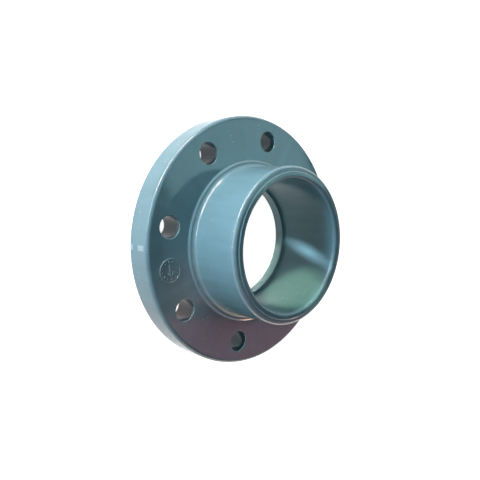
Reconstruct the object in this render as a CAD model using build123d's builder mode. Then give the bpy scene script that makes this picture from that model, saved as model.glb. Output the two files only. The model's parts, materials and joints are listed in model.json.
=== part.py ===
"""Injection-moulded PVC-U socket flange for 110 mm pressure pipe.

One solid: a full-face bolting disc with a solvent-weld socket hub on its front.
The bore runs along +Z and leaves through the hub's mouth.
The flat sealing face lies on Z = 0, and the origin is the bore's centre on that face.
"""

import os
from math import radians, tan

from build123d import *

# Driving dimensions, in millimetres and degrees
pipe_diameter = 110.0
flange_diameter = 220.0
flange_thickness = 22.5
bolt_circle_diameter = 180.0
bolt_hole_diameter = 18.0
bolt_hole_count = 8
overall_height = 71.0
socket_depth = 61.0

# The disc: its rim is drafted towards the front from the parting line, its sharp back edge
rim_draft = 1.5
rim_front_chamfer = 0.9
bolt_hole_chamfer = 0.6

# The hub: a shallow ring at its root, then a concave fillet up to a slightly drafted wall
hub_mouth_diameter = 130.8
hub_draft = 0.75
root_ring_diameter = 142.0
root_ring_height = 1.2
root_fillet_radius = 4.0

# The mouth: its outer edge broken, a fine step across its face, and a lead-in for the pipe
mouth_outer_chamfer = 1.5
mouth_step_height = 0.5
mouth_step_foot_diameter = 122.0
mouth_step_top_diameter = 120.6
lead_in_chamfer = 2.4

# The socket: parallel, then closing over a short seat to the pipe stop
socket_clearance = 0.4
seat_height = 5.5
seat_reduction = 1.0
stop_corner_chamfer = 1.2

# The waterway through the disc
waterway_diameter = 104.2
waterway_front_chamfer = 0.5
waterway_back_chamfer = 0.8

# Concentric gasket grooves in the sealing face
groove_count = 3
groove_first_diameter = 118.0
groove_spacing = 6.0
groove_depth = 0.5

# Worked out from the sizes above
flange_radius = flange_diameter / 2
rim_front_radius = flange_radius - flange_thickness * tan(radians(rim_draft))
root_ring_top = flange_thickness + root_ring_height
hub_mouth_radius = hub_mouth_diameter / 2
hub_wall_height = overall_height - mouth_step_height - root_ring_top
hub_root_radius = hub_mouth_radius + hub_wall_height * tan(radians(hub_draft))
stop_height = overall_height - socket_depth
socket_radius = (pipe_diameter + socket_clearance) / 2
seat_radius = socket_radius - seat_reduction / 2
groove_side = groove_depth * 2**0.5

# Corners of the half section, in radius and height, named for where they are
waterway_back = (waterway_diameter / 2, 0)
rim_back = (flange_radius, 0)
rim_front = (rim_front_radius, flange_thickness)
root_ring_foot = (root_ring_diameter / 2, flange_thickness)
root_ring_edge = (root_ring_diameter / 2, root_ring_top)
hub_root = (hub_root_radius, root_ring_top)
mouth_outer = (hub_mouth_radius, overall_height - mouth_step_height)
mouth_step_foot = (mouth_step_foot_diameter / 2, overall_height - mouth_step_height)
mouth_step_top = (mouth_step_top_diameter / 2, overall_height)
mouth_inner = (socket_radius, overall_height)
seat_start = (socket_radius, stop_height + seat_height)
stop_corner = (seat_radius, stop_height)
waterway_front = (waterway_diameter / 2, stop_height)

# Each broken corner of the section, with its chamfer
broken_corners = [
    (waterway_back, waterway_back_chamfer),
    (rim_front, rim_front_chamfer),
    (mouth_outer, mouth_outer_chamfer),
    (mouth_inner, lead_in_chamfer),
    (stop_corner, stop_corner_chamfer),
    (waterway_front, waterway_front_chamfer),
]

with BuildPart() as flange:
    # Half section of the whole moulding, turned about the bore's axis
    with BuildSketch(Plane.XZ) as section:
        with BuildLine():
            Polyline(
                waterway_back,
                rim_back,
                rim_front,
                root_ring_foot,
                root_ring_edge,
                hub_root,
                mouth_outer,
                mouth_step_foot,
                mouth_step_top,
                mouth_inner,
                seat_start,
                stop_corner,
                waterway_front,
                close=True,
            )
        make_face()
        fillet(section.vertices().sort_by_distance(Vector(*hub_root, 0))[0], root_fillet_radius)
        for corner, length in broken_corners:
            chamfer(section.vertices().sort_by_distance(Vector(*corner, 0))[0], length)
        # Each gasket groove is a square on its corner, half of it inside the section
        for number in range(groove_count):
            with Locations((groove_first_diameter / 2 + number * groove_spacing, 0)):
                Rectangle(groove_side, groove_side, rotation=45, mode=Mode.SUBTRACT)
    revolve(axis=Axis.Z)

    # Bolt holes straddle the centre lines, as on every standard flange
    first_hole_angle = 180 / bolt_hole_count
    with PolarLocations(bolt_circle_diameter / 2, bolt_hole_count, start_angle=first_hole_angle):
        Hole(bolt_hole_diameter / 2)
    hole_edges = flange.edges().filter_by(
        lambda edge: edge.geom_type == GeomType.CIRCLE and abs(edge.radius - bolt_hole_diameter / 2) < 0.001
    )
    chamfer(hole_edges.group_by(Axis.Z)[-1], bolt_hole_chamfer)

flange.part.label = "flange"
os.makedirs("parts", exist_ok=True)
export_step(flange.part, "parts/flange.step")
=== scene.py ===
"""Dress a moulded PVC-U pipe flange: the moulding, its mould marks and a photographer's stage.

The frame is in metres, with the bore along +Z and the sealing face lying on Z = 0.
"""

import json
import math

import bmesh
import bpy
from bpy.props import FloatProperty, FloatVectorProperty, IntProperty, PointerProperty
from mathutils import Matrix, Quaternion, Vector


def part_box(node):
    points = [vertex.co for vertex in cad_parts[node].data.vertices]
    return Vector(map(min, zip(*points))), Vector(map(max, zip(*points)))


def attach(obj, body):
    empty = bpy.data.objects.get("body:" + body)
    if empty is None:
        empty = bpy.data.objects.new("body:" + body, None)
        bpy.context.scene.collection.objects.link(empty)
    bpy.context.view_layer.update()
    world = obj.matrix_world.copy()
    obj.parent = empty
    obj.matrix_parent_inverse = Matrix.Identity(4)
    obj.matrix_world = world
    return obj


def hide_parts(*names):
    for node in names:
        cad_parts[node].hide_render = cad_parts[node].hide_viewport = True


bl_info = {
    "name": "Pipe Flange",
    "version": (1, 0, 0),
    "blender": (4, 5, 0),
    "location": "View3D > Sidebar > Pipe Flange",
    "description": "Builds the moulded skin, mould marks and stage of a pipe flange",
    "category": "Object",
}

MM = 0.001

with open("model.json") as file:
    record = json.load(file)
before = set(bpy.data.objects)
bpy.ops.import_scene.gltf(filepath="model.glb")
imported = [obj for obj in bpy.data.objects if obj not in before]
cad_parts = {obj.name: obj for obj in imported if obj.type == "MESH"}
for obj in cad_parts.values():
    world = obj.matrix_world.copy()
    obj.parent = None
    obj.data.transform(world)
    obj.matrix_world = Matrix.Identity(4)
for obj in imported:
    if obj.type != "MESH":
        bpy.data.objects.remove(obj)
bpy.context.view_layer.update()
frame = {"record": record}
flange_low, flange_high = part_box("flange")
mounts = {mount["name"]: mount["dims"] for mount in frame["record"]["mounts"]}


def linear(hex_colour):
    """Linear RGB of an sRGB hex colour."""
    channels = [int(hex_colour[place : place + 2], 16) / 255 for place in (0, 2, 4)]
    return [c / 12.92 if c <= 0.04045 else ((c + 0.055) / 1.055) ** 2.4 for c in channels]


def length(name, description, default):
    """A size that a user can change, in metres."""
    return FloatProperty(
        name=name, description=description, default=default, min=0.0, unit="LENGTH", precision=5
    )


def angle(name, description, degrees):
    """An angle that a user can change, given in degrees."""
    return FloatProperty(
        name=name, description=description, default=math.radians(degrees), subtype="ANGLE"
    )


def colour(name, description, hex_colour):
    """A colour that a user can change, given as sRGB hex."""
    return FloatVectorProperty(
        name=name, description=description, default=linear(hex_colour), subtype="COLOR", min=0.0, max=1.0
    )


class FlangeSizes(bpy.types.PropertyGroup):
    """Sizes of the moulding's section and of its bolt holes."""

    # The disc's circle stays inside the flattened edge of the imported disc
    disc_radius: length(
        "Disc radius",
        "Radius at the sealing face",
        min(-flange_low.x, -flange_low.y, flange_high.x, flange_high.y),
    )
    disc_thickness: length("Disc thickness", "Sealing face to front face", 22.5 * MM)
    rim_draft: angle("Rim draft", "Lean of the rim towards the front", 1.5)
    rim_rounding: length("Rim rounding", "Radius of the rim's front edge", 3.2 * MM)
    hole_circle_radius: length(
        "Hole circle radius", "Bore's axis to a bolt hole's axis", mounts["bolt_circle"]["pcd_mm"] / 2 * MM
    )
    hole_radius: length("Hole radius", "Radius of a bolt hole", mounts["bolt_circle"]["hole_r_mm"] * MM)
    hole_rounding: length("Hole rounding", "Radius of a bolt hole's front edge", 0.5 * MM)
    hole_count: IntProperty(
        name="Hole count",
        description="Bolt holes in the disc",
        default=mounts["bolt_circle"]["count"],
        min=3,
    )
    overall_height: length("Overall height", "Sealing face to mouth", flange_high.z)
    root_ring_radius: length("Root ring radius", "Raised ring at the hub's root", 70.9 * MM)
    root_ring_slope: length("Root ring slope", "Width over which the ring rises", 1.6 * MM)
    root_ring_rounding: length("Root ring rounding", "Radius at the slope's foot", 1.5 * MM)
    root_ring_height: length("Root ring height", "Rise of that ring above the front face", 1.2 * MM)
    root_fillet: length("Root fillet", "Concave radius from the ring up to the hub", 4 * MM)
    hub_mouth_radius: length("Hub mouth radius", "Outside of the hub at its mouth", 65.4 * MM)
    hub_draft: angle("Hub draft", "Lean of the hub's wall towards the mouth", 0.75)
    mouth_rounding: length("Mouth rounding", "Radius of the mouth's outer edge", 3 * MM)
    mouth_step_height: length("Mouth step height", "Fine step across the mouth's face", 0.5 * MM)
    mouth_step_foot_radius: length("Mouth step foot radius", "Where the step starts to rise", 61 * MM)
    mouth_step_top_radius: length("Mouth step top radius", "Where the step has risen", 60.3 * MM)
    lead_in_rounding: length("Lead-in rounding", "Radius that guides the pipe in", 2.6 * MM)
    socket_radius: length(
        "Socket radius", "Parallel wall that takes the pipe", mounts["pipe_socket"]["r_mm"] * MM
    )
    stop_height: length("Stop height", "Sealing face to the pipe stop's shoulder", 10 * MM)
    stop_corner_width: length(
        "Stop corner width", "Reach of the corner's hollow along the shoulder", 1.5 * MM
    )
    stop_corner_height: length("Stop corner height", "Reach of that hollow up the socket's wall", 2.4 * MM)
    stop_corner_rounding: length("Stop corner rounding", "Radius at both ends of that hollow", 1.2 * MM)
    seat_height: length("Seat height", "Length over which the socket closes on the pipe", 5.5 * MM)
    seat_reduction: length("Seat reduction", "Closing of the socket's radius over that length", 0.5 * MM)
    waterway_radius: length("Waterway radius", "Bore through the disc", mounts["waterway"]["r_mm"] * MM)
    waterway_rounding: length("Waterway rounding", "Radius of the bore's back edge", 1.2 * MM)
    groove_count: IntProperty(
        name="Groove count", description="Gasket grooves in the sealing face", default=3, min=0
    )
    first_groove_radius: length("First groove radius", "Innermost gasket groove", 59 * MM)
    groove_spacing: length("Groove spacing", "From one gasket groove to the next", 6 * MM)
    groove_depth: length("Groove depth", "Depth of a gasket groove", 0.5 * MM)
    fine_rounding: length("Fine rounding", "Radius that polishing leaves on a crisp edge", 0.35 * MM)


class MarkSizes(bpy.types.PropertyGroup):
    """Sizes and places of the marks that the mould leaves."""

    dial_radius: length("Dial radius", "Outside of the raised ring", 9.7 * MM)
    dial_angle: angle("Dial angle", "Place of the dial on the hole circle", -90.9)
    stroke_width: length("Stroke width", "Width of each raised stroke", 1.1 * MM)
    stroke_height: length("Stroke height", "Rise of each stroke above the face", 0.5 * MM)
    tick_count: IntProperty(name="Tick count", description="Ticks inside the ring", default=12, min=0)
    gate_angle: angle("Gate angle", "Place of the cut gate on the rim", -102.4)
    gate_width: length("Gate width", "Size of the cut gate round the rim", 4.4 * MM)
    gate_low: length("Gate low edge", "Height at which the cut gate starts", 10.5 * MM)
    gate_high: length("Gate high edge", "Height at which the cut gate ends", 18.5 * MM)
    gate_rise: length("Gate rise", "What the cutter leaves proud of the rim", 0.15 * MM)
    nick_low: length("Nick low edge", "Height at which the nick below the gate starts", 0.7 * MM)
    nick_high: length("Nick high edge", "Height at which that nick ends", 3.4 * MM)


class FinishColours(bpy.types.PropertyGroup):
    """Colours of the surfaces and of the sky."""

    pvc: colour("PVC", "Blue-grey pressure pipe compound", "5b838f")
    pvc_flow: colour("Flow line", "Where the compound flowed slower into the mould", "4a6b73")
    pvc_cut: colour("Cut PVC", "Whitened where the gate was cut", "84a3ae")
    dust: colour("Dust", "Specks held on by static", "d5dde0")
    sky: colour("Sky", "Even light from all round", "e6f0f4")
    floor: colour("Floor", "Plain pale floor and backdrop", "f4f4f4")


class StageSettings(bpy.types.PropertyGroup):
    """The camera, and how bright the sky is."""

    aim: FloatVectorProperty(
        name="Aim",
        description="Point that the camera looks at",
        default=(-9.63 * MM, -26.39 * MM, 35.52 * MM),
        subtype="TRANSLATION",
    )
    distance: length("Distance", "Camera to aim", 392 * MM)
    azimuth: angle("Azimuth", "0 looks along +Y and 90 along -X", -20.906)
    elevation: angle("Elevation", "Camera above the horizon", 47.395)
    roll: angle("Roll", "Turn of the camera about its view", 97.283)
    lens: FloatProperty(
        name="Lens", description="Focal length on a 36 mm sensor", default=35.28, unit="CAMERA"
    )
    sky_strength: FloatProperty(
        name="Sky strength", description="Strength of the even light from all round", default=0.04, min=0.0
    )


def add_node(tree, kind, settings=None, inputs=None):
    """Add a node, set its settings, and give its inputs values or links from other nodes' outputs."""
    node = tree.nodes.new(kind)
    for name, value in (settings or {}).items():
        setattr(node, name, value)
    for name, value in (inputs or {}).items():
        if isinstance(value, bpy.types.NodeSocket):
            tree.links.new(value, node.inputs[name])
        else:
            node.inputs[name].default_value = value
    return node


def empty_material(name):
    """A material whose tree holds only its output."""
    material = bpy.data.materials.new(name)
    material.use_nodes = True
    material.node_tree.nodes.clear()
    return material, material.node_tree


def polar_streaks(tree, around, inward, upward):
    """A vector for textures whose grain runs out from the bore's axis and along it, without a seam.

    The sizes are a grain's width round the disc, its length along a radius and its height, in metres.
    """
    # A grain has its stated width this far from the axis
    middle_radius = 80 * MM
    place = add_node(tree, "ShaderNodeTexCoord").outputs["Object"]
    flat = add_node(tree, "ShaderNodeVectorMath", {"operation": "MULTIPLY"}, {0: place, 1: (1, 1, 0)})
    reach = add_node(tree, "ShaderNodeVectorMath", {"operation": "LENGTH"}, {0: flat.outputs["Vector"]})
    spoke = add_node(tree, "ShaderNodeVectorMath", {"operation": "NORMALIZE"}, {0: flat.outputs["Vector"]})
    ring = add_node(
        tree,
        "ShaderNodeVectorMath",
        {"operation": "SCALE"},
        {0: spoke.outputs["Vector"], "Scale": middle_radius / around},
    )
    along = add_node(
        tree, "ShaderNodeMath", {"operation": "MULTIPLY"}, {0: reach.outputs["Value"], 1: 1 / inward}
    )
    height = add_node(tree, "ShaderNodeSeparateXYZ", inputs={"Vector": place})
    rise = add_node(
        tree,
        "ShaderNodeMath",
        {"operation": "MULTIPLY_ADD"},
        {0: height.outputs["Z"], 1: 1 / upward, 2: along.outputs["Value"]},
    )
    lift = add_node(tree, "ShaderNodeCombineXYZ", inputs={"Z": rise.outputs["Value"]})
    return add_node(
        tree,
        "ShaderNodeVectorMath",
        {"operation": "ADD"},
        {0: ring.outputs["Vector"], 1: lift.outputs["Vector"]},
    ).outputs["Vector"]


def dust_specks(tree, spacing, radius):
    """1 on sparse specks of dust and 0 between them, for a spacing and a speck radius in metres."""
    place = add_node(tree, "ShaderNodeTexCoord").outputs["Object"]
    cells = add_node(tree, "ShaderNodeTexVoronoi", inputs={"Vector": place, "Scale": 1 / spacing})
    chance = add_node(tree, "ShaderNodeSeparateXYZ", inputs={"Vector": cells.outputs["Color"]})
    # Only some cells hold a speck, and few of those a large one
    bare_share = 0.35
    size = add_node(
        tree,
        "ShaderNodeMapRange",
        inputs={"Value": chance.outputs["X"], "From Min": bare_share, "To Max": radius / spacing},
    )
    return add_node(
        tree,
        "ShaderNodeMath",
        {"operation": "LESS_THAN"},
        {0: cells.outputs["Distance"], 1: size.outputs["Result"]},
    ).outputs["Value"]


def moulded_pvc(colours, drawn=False):
    """PVC-U, injection moulded in a polished steel cavity.

    The polish gives a wet-looking gloss, which slight sinking of the thick walls warps.
    The compound is a little darker where it flowed slower, in streaks out from the bore.
    Drawn walls carry fine lines along the axis from the core that was pulled out of them.
    """
    material, tree = empty_material("pvc_moulded_drawn" if drawn else "pvc_moulded_gloss")
    place = add_node(tree, "ShaderNodeTexCoord").outputs["Object"]
    streaks = add_node(
        tree,
        "ShaderNodeTexNoise",
        inputs={"Vector": polar_streaks(tree, 9 * MM, 55 * MM, 40 * MM), "Scale": 1.0, "Detail": 3.0},
    ).outputs["Fac"]
    clouds = add_node(
        tree, "ShaderNodeTexNoise", inputs={"Vector": place, "Scale": 1 / (45 * MM), "Detail": 2.0}
    ).outputs["Fac"]
    flow = add_node(tree, "ShaderNodeMath", {"operation": "ADD"}, {0: streaks, 1: clouds}).outputs["Value"]
    # Even the slowest streaks are only part of the way to the darker compound
    slower = add_node(
        tree,
        "ShaderNodeMapRange",
        inputs={"Value": flow, "From Min": 0.85, "From Max": 1.3, "To Max": 0.32},
    )
    compound = add_node(
        tree,
        "ShaderNodeMix",
        {"data_type": "RGBA"},
        {"Factor": slower.outputs["Result"], 6: (*colours.pvc, 1), 7: (*colours.pvc_flow, 1)},
    ).outputs[2]
    # Real dust is finer than this, which is as coarse as it has to be to show
    specks = dust_specks(tree, spacing=5.5 * MM, radius=0.55 * MM)
    # It lies thin enough for the compound to show through
    dust_cover = 0.4
    thin_dust = add_node(tree, "ShaderNodeMath", {"operation": "MULTIPLY"}, {0: specks, 1: dust_cover})
    colour_out = add_node(
        tree,
        "ShaderNodeMix",
        {"data_type": "RGBA"},
        {"Factor": thin_dust.outputs["Value"], 6: compound, 7: (*colours.dust, 1)},
    ).outputs[2]
    handling = add_node(
        tree, "ShaderNodeTexNoise", inputs={"Vector": place, "Scale": 1 / (14 * MM), "Detail": 4.0}
    ).outputs["Fac"]
    # The drawn lines scatter part of what a polished wall would mirror
    smoothest, dullest, mirroring = (0.2, 0.3, 0.25) if drawn else (0.1, 0.17, 0.5)
    gloss = add_node(
        tree,
        "ShaderNodeMapRange",
        inputs={
            "Value": handling,
            "From Min": 0.45,
            "From Max": 0.75,
            "To Min": smoothest,
            "To Max": dullest,
        },
    )
    # Sinking of the thick walls, then the polisher's fine waviness
    sink = add_node(
        tree, "ShaderNodeTexNoise", inputs={"Vector": place, "Scale": 1 / (38 * MM), "Detail": 1.0}
    ).outputs["Fac"]
    relief = add_node(
        tree, "ShaderNodeBump", inputs={"Height": sink, "Strength": 1.0, "Distance": 0.35 * MM}
    )
    waviness = add_node(
        tree, "ShaderNodeTexNoise", inputs={"Vector": place, "Scale": 1 / (3 * MM), "Detail": 1.0}
    ).outputs["Fac"]
    relief = add_node(
        tree,
        "ShaderNodeBump",
        inputs={
            "Height": waviness,
            "Strength": 1.0,
            "Distance": 0.008 * MM,
            "Normal": relief.outputs["Normal"],
        },
    )
    if drawn:
        # The real lines are a few hundredths of a millimetre apart and are drawn coarser here
        lines = add_node(
            tree,
            "ShaderNodeTexNoise",
            inputs={"Vector": polar_streaks(tree, 1.3 * MM, 1, 22 * MM), "Scale": 1.0, "Detail": 3.0},
        ).outputs["Fac"]
        relief = add_node(
            tree,
            "ShaderNodeBump",
            inputs={
                "Height": lines,
                "Strength": 1.0,
                "Distance": 0.08 * MM,
                "Normal": relief.outputs["Normal"],
            },
        )
    surface = add_node(
        tree,
        "ShaderNodeBsdfPrincipled",
        inputs={
            "Base Color": colour_out,
            "Roughness": gloss.outputs["Result"],
            "IOR": 1.53,
            "Specular IOR Level": mirroring,
            "Normal": relief.outputs["Normal"],
        },
    )
    add_node(tree, "ShaderNodeOutputMaterial", inputs={"Surface": surface.outputs["BSDF"]})
    return material


def cut_pvc(colours):
    """PVC-U whitened by the side cutter that took the gate off: paler, and matt to the eye.

    The cutter's drag leaves some of the blue-grey compound showing in small patches.
    """
    material, tree = empty_material("pvc_cut_gate")
    place = add_node(tree, "ShaderNodeTexCoord").outputs["Object"]
    drag = add_node(
        tree, "ShaderNodeTexNoise", inputs={"Vector": place, "Scale": 1 / (1.5 * MM), "Detail": 3.0}
    ).outputs["Fac"]
    pale = add_node(tree, "ShaderNodeMapRange", inputs={"Value": drag, "From Min": 0.2, "From Max": 0.4})
    whitening = add_node(
        tree,
        "ShaderNodeMix",
        {"data_type": "RGBA"},
        {"Factor": pale.outputs["Result"], 6: (*colours.pvc, 1), 7: (*colours.pvc_cut, 1)},
    ).outputs[2]
    surface = add_node(
        tree,
        "ShaderNodeBsdfPrincipled",
        inputs={"Base Color": whitening, "Roughness": 0.5, "IOR": 1.53},
    )
    add_node(tree, "ShaderNodeOutputMaterial", inputs={"Surface": surface.outputs["BSDF"]})
    return material


def pale_floor(colours):
    """Painted board, matt: white to the eye and in reflections, with the object's own shadow."""
    material, tree = empty_material("painted_floor_matt")
    paint = add_node(tree, "ShaderNodeBsdfDiffuse", inputs={"Color": (*colours.floor, 1)})
    rays = add_node(tree, "ShaderNodeLightPath")
    seen = add_node(
        tree,
        "ShaderNodeMath",
        {"operation": "MAXIMUM"},
        {0: rays.outputs["Is Camera Ray"], 1: rays.outputs["Is Glossy Ray"]},
    )
    seen = add_node(
        tree,
        "ShaderNodeMath",
        {"operation": "MAXIMUM"},
        {0: seen.outputs["Value"], 1: rays.outputs["Is Transmission Ray"]},
    )
    # Just under white, so that the lamps bring it up to white and leave the object's shadow on it
    near_white = 0.94
    strength = add_node(
        tree, "ShaderNodeMath", {"operation": "MULTIPLY"}, {0: seen.outputs["Value"], 1: near_white}
    )
    glow = add_node(tree, "ShaderNodeEmission", inputs={"Strength": strength.outputs["Value"]})
    both = add_node(
        tree, "ShaderNodeAddShader", inputs={0: paint.outputs["BSDF"], 1: glow.outputs["Emission"]}
    )
    add_node(tree, "ShaderNodeOutputMaterial", inputs={"Surface": both.outputs["Shader"]})
    return material


def corner_arc(before, corner, after, steps):
    """Points that round off one corner of a section. Each corner is (radius, height, rounding)."""
    point = Vector(corner[:2])
    back = (Vector(before[:2]) - point).normalized()
    ahead = (Vector(after[:2]) - point).normalized()
    half_corner = back.angle(ahead) / 2
    rounding = corner[2]
    centre = point + (back + ahead).normalized() * rounding / math.sin(half_corner)
    start = point + back * rounding / math.tan(half_corner) - centre
    turn = start.angle_signed(point + ahead * rounding / math.tan(half_corner) - centre)
    return [centre + start @ Matrix.Rotation(turn * step / steps, 2) for step in range(steps + 1)]


def rounded_section(corners):
    """One list of points for each corner of a closed section, more of them on the broad roundings."""
    broad = 1 * MM
    broad_steps, fine_steps = 10, 4
    arcs = []
    for place, corner in enumerate(corners):
        after = corners[(place + 1) % len(corners)]
        steps = broad_steps if corner[2] > broad else fine_steps
        arcs.append(corner_arc(corners[place - 1], corner, after, steps))
    return arcs


def add_ring(skin, radius, height, count, centre=(0, 0), start=0.0):
    """Verts of a level circle, anticlockwise from the start angle."""
    ring = []
    for place in range(count):
        turn = start + place * math.tau / count
        x = centre[0] + radius * math.cos(turn)
        y = centre[1] + radius * math.sin(turn)
        ring.append(skin.verts.new((x, y, height)))
    return ring


def join_rings(skin, one, other):
    """Faces between two rings with as many verts."""
    faces = []
    for place in range(len(one)):
        after = (place + 1) % len(one)
        faces.append(skin.faces.new((one[place], one[after], other[after], other[place])))
    return faces


def join_around_holes(skin, inner, outer, holes, spoke_steps):
    """Level faces between two rings, open at evenly spaced holes.

    Spokes midway between the holes cut the annulus into one sector for each hole.
    A hole's ring has as many verts as its sector's outline, and is joined to it vert by vert.
    """
    arc = len(inner) // len(holes)
    spokes = []
    for number in range(len(holes)):
        foot = inner[number * arc]
        tip = outer[number * arc]
        shares = [step / spoke_steps for step in range(1, spoke_steps)]
        between = [skin.verts.new(foot.co.lerp(tip.co, share)) for share in shares]
        spokes.append([foot, *between, tip])
    for number, hole in enumerate(holes):
        turns = [(number * arc + place) % len(inner) for place in range(arc + 1)]
        next_spoke = spokes[(number + 1) % len(holes)]
        outline = [outer[turn] for turn in turns[:-1]]
        outline += next_spoke[:0:-1]
        outline += [inner[turn] for turn in turns[:0:-1]]
        outline += spokes[number][:-1]
        join_rings(skin, outline, hole)


def new_piece(name, skin, *materials):
    """Turn a bmesh into a smooth-shaded piece of the object."""
    bmesh.ops.recalc_face_normals(skin, faces=skin.faces)
    mesh = bpy.data.meshes.new(name)
    skin.to_mesh(mesh)
    skin.free()
    mesh.shade_smooth()
    for material in materials:
        mesh.materials.append(material)
    piece = bpy.data.objects.new(name, mesh)
    bpy.context.scene.collection.objects.link(piece)
    # Broad flat faces keep their own normals, so that they stay flat next to the roundings
    piece.modifiers.new("Flat faces stay flat", "WEIGHTED_NORMAL")
    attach(piece, "root")
    return piece


class FLANGE_OT_moulding(bpy.types.Operator):
    """Build the moulding: disc, hub, socket, waterway and bolt holes in one skin"""

    bl_idname = "flange.moulding"
    bl_label = "Moulding"

    # Steps round the disc for each bolt hole, and along the spoke between two holes
    ring_steps = 32
    spoke_steps = 13

    def section_corners(self, sizes):
        """Corners of the half section, each with its rounding.

        With them come the places of the corners that the back flat, the front flat and the socket's wall
        start from.
        """
        front = sizes.disc_thickness
        rim_front_radius = sizes.disc_radius - front * math.tan(sizes.rim_draft)
        ring_top = front + sizes.root_ring_height
        mouth_low = sizes.overall_height - sizes.mouth_step_height
        hub_root_radius = sizes.hub_mouth_radius + (mouth_low - ring_top) * math.tan(sizes.hub_draft)
        crisp = sizes.fine_rounding
        seat_radius = sizes.socket_radius - sizes.seat_reduction
        corners = [(sizes.waterway_radius, 0, sizes.waterway_rounding)]
        for number in range(sizes.groove_count):
            middle = sizes.first_groove_radius + number * sizes.groove_spacing
            depth = sizes.groove_depth
            corners += [
                (middle - depth, 0, crisp / 2),
                (middle, depth, crisp / 2),
                (middle + depth, 0, crisp / 2),
            ]
        back_flat = len(corners) - 1
        corners += [(sizes.disc_radius, 0, crisp), (rim_front_radius, front, sizes.rim_rounding)]
        front_flat = len(corners) - 1
        corners += [
            (sizes.root_ring_radius + sizes.root_ring_slope / 2, front, sizes.root_ring_rounding),
            (sizes.root_ring_radius - sizes.root_ring_slope / 2, ring_top, crisp),
            (hub_root_radius, ring_top, sizes.root_fillet),
            (sizes.hub_mouth_radius, mouth_low, sizes.mouth_rounding),
            (sizes.mouth_step_foot_radius, mouth_low, crisp),
            (sizes.mouth_step_top_radius, sizes.overall_height, crisp),
            (sizes.socket_radius, sizes.overall_height, sizes.lead_in_rounding),
        ]
        socket_wall = len(corners) - 1
        corners += [
            (sizes.socket_radius, sizes.stop_height + sizes.seat_height, crisp),
            (seat_radius, sizes.stop_height + sizes.stop_corner_height, sizes.stop_corner_rounding),
            (seat_radius - sizes.stop_corner_width, sizes.stop_height, sizes.stop_corner_rounding),
            (sizes.waterway_radius, sizes.stop_height, 2 * crisp),
        ]
        return corners, back_flat, front_flat, socket_wall

    def hole_section(self, sizes):
        """Outline of a bolt hole's wall from the front face to the back, as (radius, height) points."""
        # Somewhere out on the faces, to give the direction in which the roundings run out
        wide = sizes.hole_radius + sizes.disc_thickness
        front_steps, back_steps = 6, 4
        front = (sizes.hole_radius, sizes.disc_thickness, sizes.hole_rounding)
        back = (sizes.hole_radius, 0, sizes.fine_rounding)
        return [
            *corner_arc((wide, sizes.disc_thickness), front, back, front_steps),
            *corner_arc(front, back, (wide, 0), back_steps),
        ]

    def execute(self, context):
        sizes = context.scene.flange_sizes
        skin = bmesh.new()
        count = self.ring_steps * sizes.hole_count
        corners, back_flat, front_flat, socket_wall = self.section_corners(sizes)
        rings = [
            [add_ring(skin, point.x, point.y, count) for point in arc] for arc in rounded_section(corners)
        ]
        # A hole's ring has as many verts as its sector's outline, and its first faces the outline's first
        around = 2 * self.ring_steps + 2 * self.spoke_steps
        start_lag = math.pi * self.ring_steps / around
        hole_walls = []
        for number in range(sizes.hole_count):
            turn = math.tau * (number + 0.5) / sizes.hole_count
            centre = (sizes.hole_circle_radius * math.cos(turn), sizes.hole_circle_radius * math.sin(turn))
            wall = [
                add_ring(skin, point.x, point.y, around, centre, turn - start_lag)
                for point in self.hole_section(sizes)
            ]
            for upper, lower in zip(wall, wall[1:]):
                join_rings(skin, upper, lower)
            hole_walls.append(wall)
        # The core that forms the socket leaves its lines on the parallel wall and on the seat below it
        drawn_walls = (socket_wall, socket_wall + 1)
        for place, arc in enumerate(rings):
            for one, other in zip(arc, arc[1:]):
                join_rings(skin, one, other)
            after = rings[(place + 1) % len(rings)][0]
            if place == back_flat:
                join_around_holes(skin, arc[-1], after, [wall[-1] for wall in hole_walls], self.spoke_steps)
            elif place == front_flat:
                join_around_holes(skin, after, arc[-1], [wall[0] for wall in hole_walls], self.spoke_steps)
            else:
                faces = join_rings(skin, arc[-1], after)
                if place in drawn_walls:
                    for face in faces:
                        face.material_index = 1
        colours = context.scene.flange_colours
        piece = new_piece("moulding", skin, moulded_pvc(colours), moulded_pvc(colours, drawn=True))
        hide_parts("flange")
        return {"FINISHED"}


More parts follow.
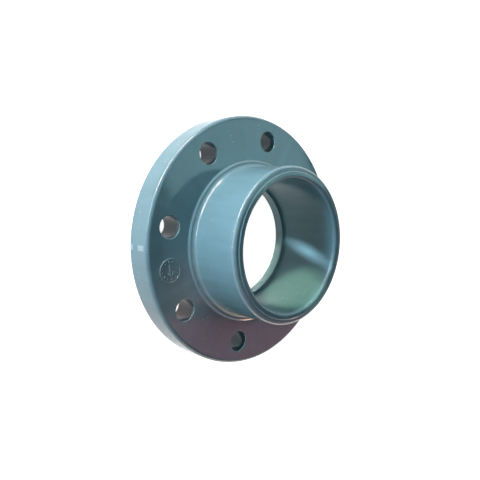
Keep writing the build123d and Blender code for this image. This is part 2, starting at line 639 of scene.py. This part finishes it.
class FLANGE_OT_mould_dial(bpy.types.Operator):
    """Raise the mould's dial on the front face: a ring, an arrow and ticks"""

    bl_idname = "flange.mould_dial"
    bl_label = "Mould dial"

    profile_steps = 8
    circle_steps = 72
    # Share of its height that a stroke's foot lies below the face
    sunk_share = 0.3
    # Width of a tick in strokes, then reaches in parts of the ring's radius
    tick_width = 0.8
    tick_reaches = (0.7, 0.84)
    arrow_reach = 0.56
    barb_reach, barb_spread = 0.15, 0.26

    def add_stroke(self, skin, path, width, height, closed=False):
        """A raised line with a rounded back along points of the face, its foot just under the face."""
        count = len(path)
        ribs = []
        for place, point in enumerate(path):
            before = path[place - 1] if place or closed else point
            after = path[(place + 1) % count] if place < count - 1 or closed else point
            along = (Vector(after) - Vector(before)).normalized()
            across = Vector((-along.y, along.x))
            rib = []
            for step in range(self.profile_steps + 1):
                turn = math.pi * step / self.profile_steps
                side = math.cos(turn) * width / 2
                above = 0 < step < self.profile_steps
                rise = height * math.sin(turn) ** 0.5 if above else -self.sunk_share * height
                rib.append(skin.verts.new((point[0] + across.x * side, point[1] + across.y * side, rise)))
            ribs.append(rib)
        if closed:
            ribs.append(ribs[0])
        else:
            skin.faces.new(ribs[0])
            skin.faces.new(reversed(ribs[-1]))
        for one, other in zip(ribs, ribs[1:]):
            join_rings(skin, one, other)

    def execute(self, context):
        sizes = context.scene.flange_sizes
        marks = context.scene.flange_marks
        skin = bmesh.new()
        width, height = marks.stroke_width, marks.stroke_height
        ring = marks.dial_radius - width / 2
        turns = [math.tau * step / self.circle_steps for step in range(self.circle_steps)]
        circle = [(ring * math.cos(turn), ring * math.sin(turn)) for turn in turns]
        self.add_stroke(skin, circle, width, height, closed=True)
        for number in range(marks.tick_count):
            turn = math.tau * number / marks.tick_count
            ends = [
                (reach * ring * math.cos(turn), reach * ring * math.sin(turn)) for reach in self.tick_reaches
            ]
            self.add_stroke(skin, ends, width * self.tick_width, height)
        # The arrow: its shaft, then the two sides of its head
        tip = self.arrow_reach * ring
        self.add_stroke(skin, [(-tip, 0), (tip - width, 0)], width, height)
        for side in (1, -1):
            barb = (self.barb_reach * ring, side * self.barb_spread * ring)
            self.add_stroke(skin, [barb, (tip, 0)], width, height)
        x = sizes.hole_circle_radius * math.cos(marks.dial_angle)
        y = sizes.hole_circle_radius * math.sin(marks.dial_angle)
        bmesh.ops.translate(skin, verts=skin.verts, vec=(x, y, sizes.disc_thickness))
        new_piece("mould_dial", skin, moulded_pvc(context.scene.flange_colours))
        return {"FINISHED"}


class FLANGE_OT_gate_witness(bpy.types.Operator):
    """Leave the stub of the cut gate on the rim, and the nick below it"""

    bl_idname = "flange.gate_witness"
    bl_label = "Gate witness"

    columns = 14
    rows = 20
    # How deep the cutter's ripples go, how fast they follow one another up the rim, and their waver
    ripple_depth = 0.15
    ripple_pace = 1.9
    ripple_waver = 0.8
    # Rise of the nick in parts of the gate's, low because the rim is widest there
    nick_share = 0.25

    def add_stub(self, skin, sizes, marks, low, high, rise):
        """A patch that stands slightly proud of the rim, with its own edges just under the rim."""
        half_turn = marks.gate_width / 2 / sizes.disc_radius
        grid = []
        for row in range(self.rows + 1):
            height = low + (high - low) * row / self.rows
            rim = sizes.disc_radius - height * math.tan(sizes.rim_draft)
            verts = []
            for column in range(self.columns + 1):
                turn = marks.gate_angle + half_turn * (2 * column / self.columns - 1)
                wave = math.sin(row * self.ripple_pace + self.ripple_waver * math.sin(column))
                ripple = 1 - self.ripple_depth + self.ripple_depth * wave
                on_edge = row in (0, self.rows) or column in (0, self.columns)
                radius = rim + rise * (-1.0 if on_edge else ripple)
                verts.append(skin.verts.new((radius * math.cos(turn), radius * math.sin(turn), height)))
            grid.append(verts)
        for lower, upper in zip(grid, grid[1:]):
            for column in range(self.columns):
                skin.faces.new((lower[column], lower[column + 1], upper[column + 1], upper[column]))

    def execute(self, context):
        sizes = context.scene.flange_sizes
        marks = context.scene.flange_marks
        skin = bmesh.new()
        self.add_stub(skin, sizes, marks, marks.gate_low, marks.gate_high, marks.gate_rise)
        nick_rise = self.nick_share * marks.gate_rise
        self.add_stub(skin, sizes, marks, marks.nick_low, marks.nick_high, nick_rise)
        new_piece("gate_witness", skin, cut_pvc(context.scene.flange_colours))
        return {"FINISHED"}


class FLANGE_OT_stage(bpy.types.Operator):
    """Set up the floor, the lamps and the camera"""

    bl_idname = "flange.stage"
    bl_label = "Stage"

    # Azimuths run anticlockwise from +X, sizes and distances are in metres and powers in watts
    panels = (
        # Long strips just above the floor, which light the rim and the hub but hardly the disc's face
        dict(
            name="far_strip", azimuth=-160, elevation=4, distance=0.95,
            size=(0.95, 0.1), power=15, tint="ffe6df",
        ),
        dict(
            name="near_strip", azimuth=-126, elevation=5, distance=1.1,
            size=(0.9, 0.06), power=7, tint="f2f6ff",
        ),
        # Low on the sides that the camera doesn't see, so that none is left dark
        # The warm one stays below the mouth, so that the lead-in doesn't mirror it
        dict(
            name="warm_strip", azimuth=12, elevation=2.5, distance=0.7,
            size=(1.0, 0.06), power=1.5, tint="ffc8a2",
        ),
        dict(
            name="back_strip", azimuth=80, elevation=5, distance=1.1,
            size=(1.4, 0.16), power=6, tint="f0f6ff", mirrored=False,
        ),
        # Broad and dim overhead, which every rounded edge mirrors in its upper half
        dict(
            name="crown_card", azimuth=-112, elevation=70, distance=1.0,
            size=(0.9, 0.3), power=0.45, tint="e8fbff",
        ),
        # Close above the far side, so that its light falls off across the face
        dict(
            name="face_panel", azimuth=170, elevation=42, distance=0.42,
            size=(0.3, 0.2), power=0.14, tint="f0fff8",
        ),
        # Cards that the polished face mirrors: a cool one in its far half and a warm one in its near half
        # The warm one is rolled, so that it lies along the edge of that half
        dict(
            name="cool_card", azimuth=94, elevation=50, distance=0.97,
            size=(0.3, 0.42), power=0.92, tint="c4f9ff",
        ),
        dict(
            name="warm_card", azimuth=38.5, elevation=46, distance=0.95,
            size=(0.22, 0.6), roll=29, power=0.57, tint="ff97a8",
        ),
    )
    # Narrow beams: on the hub, on the face beside it, and two through the mouth onto the socket's walls
    beams = (
        dict(
            name="hub_beam", aim=(0, 0, 58 * MM), azimuth=-106, elevation=5, distance=1.0,
            cone=8, edge=0.8, softness=0.06, power=24, tint="e0eeff", mirrored=False,
        ),
        # From above, onto the part of the face that mirrors the hub and not a card
        dict(
            name="face_beam", aim=(19 * MM, -77 * MM, 22.5 * MM), azimuth=-75, elevation=78, distance=0.6,
            cone=7, edge=1.0, softness=0.02, power=8, tint="ffb0a8", mirrored=False,
        ),
        # Its lower edge just clears the mouth, so that none of it falls on the hub's outside
        dict(
            name="socket_beam", aim=(0, 0, 71 * MM), azimuth=-160, elevation=25.5, distance=0.8,
            cone=4, edge=0.4, softness=0.006, power=33, tint="fffccb",
        ),
        dict(
            name="streak_beam", aim=(23 * MM, 50.2 * MM, 41 * MM), azimuth=-60, elevation=68, distance=0.6,
            cone=1.15, edge=0.7, softness=0.004, power=119, tint="fffaff",
        ),
    )

    def add_floor(self, colours):
        """A round floor that sweeps up into a backdrop on every side."""
        skin = bmesh.new()
        # Flat floor with one face for its middle, a quarter turn of sweep, then the backdrop
        middle_radius, flat_radius, sweep, backdrop_height = 0.4, 1.8, 0.5, 1.45
        sweep_steps, columns = 8, 96
        points = [(middle_radius, 0.0), (flat_radius, 0.0)]
        for step in range(1, sweep_steps + 1):
            turn = math.pi / 2 * step / sweep_steps
            points.append((flat_radius + sweep * math.sin(turn), sweep * (1 - math.cos(turn))))
        points.append((flat_radius + sweep, backdrop_height))
        # Just below the sealing face, so that the two aren't in one plane
        drop = 0.05 * MM
        rings = [add_ring(skin, radius, height - drop, columns) for radius, height in points]
        skin.faces.new(rings[0])
        for one, other in zip(rings, rings[1:]):
            join_rings(skin, one, other)
        bmesh.ops.recalc_face_normals(skin, faces=skin.faces)
        mesh = bpy.data.meshes.new("floor")
        skin.to_mesh(mesh)
        skin.free()
        mesh.shade_smooth()
        mesh.materials.append(pale_floor(colours))
        floor = bpy.data.objects.new("floor", mesh)
        bpy.context.scene.collection.objects.link(floor)

    def place_lamp(self, lamp, aim, azimuth, elevation, distance, power, tint, roll=0):
        """Stand a lamp off from the aim, facing it, with its azimuth, elevation and roll in degrees."""
        lamp.energy = power
        lamp.color = linear(tint)
        turn, rise = math.radians(azimuth), math.radians(elevation)
        away = Vector((math.cos(turn) * math.cos(rise), math.sin(turn) * math.cos(rise), math.sin(rise)))
        holder = bpy.data.objects.new(lamp.name, lamp)
        holder.location = Vector(aim) + away * distance
        holder.rotation_mode = "QUATERNION"
        facing = (-away).to_track_quat("-Z", "Y")
        holder.rotation_quaternion = facing @ Quaternion((0, 0, 1), math.radians(roll))
        holder.visible_camera = False
        bpy.context.scene.collection.objects.link(holder)
        return holder

    def add_panel(self, name, size, mirrored=True, **place):
        """A soft panel that faces the flange."""
        lamp = bpy.data.lights.new(name, "AREA")
        lamp.shape = "RECTANGLE"
        lamp.size, lamp.size_y = size
        self.place_lamp(lamp, (0, 0, 0), **place).visible_glossy = mirrored

    def add_beam(self, name, aim, cone, edge, softness, mirrored=True, **place):
        """A spot with a soft edge, turned to its aim. Its cone is in degrees, its softness in metres."""
        lamp = bpy.data.lights.new(name, "SPOT")
        lamp.spot_size = math.radians(cone)
        lamp.spot_blend = edge
        lamp.shadow_soft_size = softness
        self.place_lamp(lamp, aim, **place).visible_glossy = mirrored

    def add_bore_lamps(self, waterway_radius):
        """Light for the waterway: a disc under the bore, as on a light table, and a strip across it."""
        # The disc is a little narrower than the bore and faces straight up
        glow = bpy.data.lights.new("bore_glow", "AREA")
        glow.shape = "DISK"
        glow.size = 1.9 * waterway_radius
        overhead, glow_height = 1.0, 0.2 * MM
        under = self.place_lamp(
            glow, (0, 0, overhead), azimuth=0, elevation=-90, distance=overhead - glow_height,
            power=0.012, tint="f8fff8",
        )
        # The strip faces the waterway's wall from the other side of the bore
        strip = bpy.data.lights.new("bore_strip", "AREA")
        strip.shape = "RECTANGLE"
        strip.size, strip.size_y = 70 * MM, 3 * MM
        strip.spread = math.radians(12)
        facing, aim_height = 25, 2 * MM
        turn = math.radians(facing)
        aim = (waterway_radius * math.cos(turn), waterway_radius * math.sin(turn), aim_height)
        across = self.place_lamp(
            strip, aim, azimuth=facing - 180, elevation=1, distance=90 * MM, power=0.0042, tint="ffe4cd"
        )
        # The floor itself is what the walls mirror
        under.visible_glossy = across.visible_glossy = False

    def add_camera(self, stage):
        """The photograph's own view of the flange, rolled as it was taken."""
        camera = bpy.data.cameras.new("camera")
        camera.lens = stage.lens
        camera.clip_start = 0.01
        holder = bpy.data.objects.new("camera", camera)
        back = Vector(
            (
                math.sin(stage.azimuth) * math.cos(stage.elevation),
                -math.cos(stage.azimuth) * math.cos(stage.elevation),
                math.sin(stage.elevation),
            )
        )
        level = (-back).to_track_quat("-Z", "Y").to_matrix()
        turned = level @ Matrix.Rotation(stage.roll, 3, "Z")
        place = Matrix.Translation(Vector(stage.aim) + back * stage.distance)
        holder.matrix_world = place @ turned.to_4x4()
        bpy.context.scene.collection.objects.link(holder)
        bpy.context.scene.camera = holder

    def execute(self, context):
        stage = context.scene.flange_stage
        colours = context.scene.flange_colours
        self.add_floor(colours)
        for panel in self.panels:
            self.add_panel(**panel)
        for beam in self.beams:
            self.add_beam(**beam)
        self.add_bore_lamps(context.scene.flange_sizes.waterway_radius)
        self.add_camera(stage)
        world = bpy.data.worlds.new("studio")
        context.scene.world = world
        world.use_nodes = True
        world.node_tree.nodes.clear()
        sky = add_node(
            world.node_tree,
            "ShaderNodeBackground",
            inputs={"Color": (*colours.sky, 1), "Strength": stage.sky_strength},
        )
        add_node(world.node_tree, "ShaderNodeOutputWorld", inputs={"Surface": sky.outputs["Background"]})
        context.scene.view_settings.view_transform = "Standard"
        return {"FINISHED"}


class FLANGE_PT_sidebar(bpy.types.Panel):
    """Lists the pieces' buttons, sizes and colours"""

    bl_label = "Pipe Flange"
    bl_space_type = "VIEW_3D"
    bl_region_type = "UI"
    bl_category = "Pipe Flange"

    def draw(self, context):
        layout = self.layout
        for operator in OPERATORS:
            layout.operator(operator.bl_idname)
        for group in GROUPS:
            box = layout.box()
            settings = getattr(context.scene, group)
            for name in settings.bl_rna.properties.keys():
                if name not in ("rna_type", "name"):
                    box.prop(settings, name)


GROUPS = {
    "flange_sizes": FlangeSizes,
    "flange_marks": MarkSizes,
    "flange_colours": FinishColours,
    "flange_stage": StageSettings,
}
OPERATORS = (FLANGE_OT_moulding, FLANGE_OT_mould_dial, FLANGE_OT_gate_witness, FLANGE_OT_stage)
CLASSES = (*GROUPS.values(), *OPERATORS, FLANGE_PT_sidebar)


def register():
    for cls in CLASSES:
        bpy.utils.register_class(cls)
    for name, group in GROUPS.items():
        setattr(bpy.types.Scene, name, PointerProperty(type=group))


def unregister():
    for name in GROUPS:
        delattr(bpy.types.Scene, name)
    for cls in reversed(CLASSES):
        bpy.utils.unregister_class(cls)


def main():
    register()
    bpy.ops.flange.moulding()
    bpy.ops.flange.mould_dial()
    bpy.ops.flange.gate_witness()
    bpy.ops.flange.stage()


if __name__ == "__main__":
    main()
